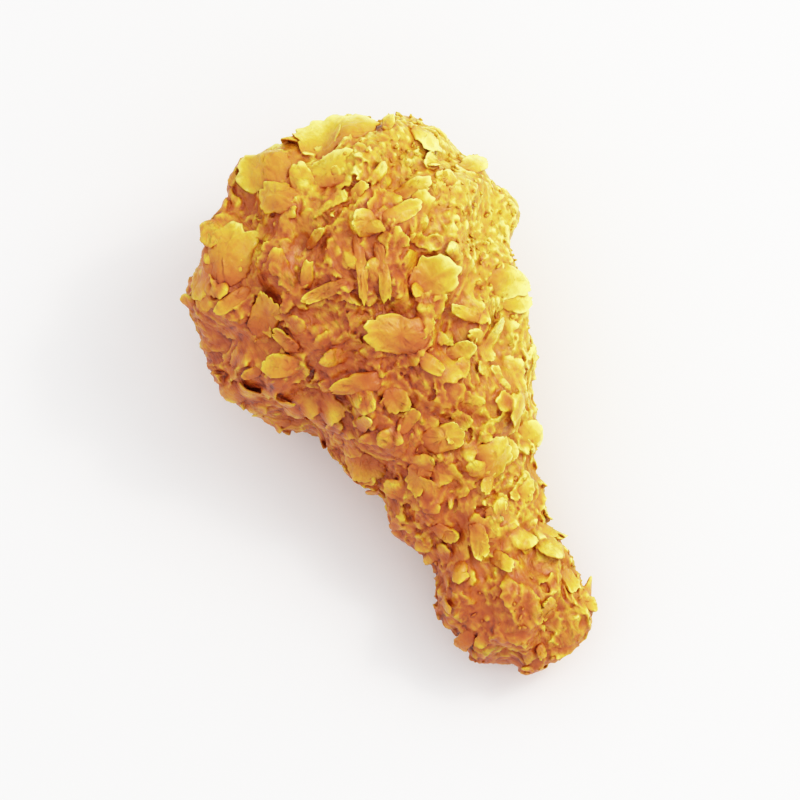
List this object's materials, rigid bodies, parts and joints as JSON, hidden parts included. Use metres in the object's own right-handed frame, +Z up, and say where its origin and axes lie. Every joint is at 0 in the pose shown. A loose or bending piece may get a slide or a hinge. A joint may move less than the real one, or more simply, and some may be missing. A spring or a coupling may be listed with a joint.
{
  "type": "fried chicken drumstick",
  "caption": "Fried chicken drumstick lying on its side: a round meaty end that narrows to a knobby bone end, all covered with crisp flaky batter.",
  "frame": {"origin": "on the table, under the middle of the drumstick's box", "axes": "+Y towards the meaty end, -Y towards the bone end, +Z up out of the side that the picture shows"},
  "size_m": [0.0747, 0.1197, 0.062],
  "materials": {
    "fried_crust": "crisp fried batter, golden orange with paler yellow flake edges and redder hollows, slightly oily"
  },
  "bodies": {
    "root": {"drumstick": "fried_crust"}
  },
  "joints": []
}
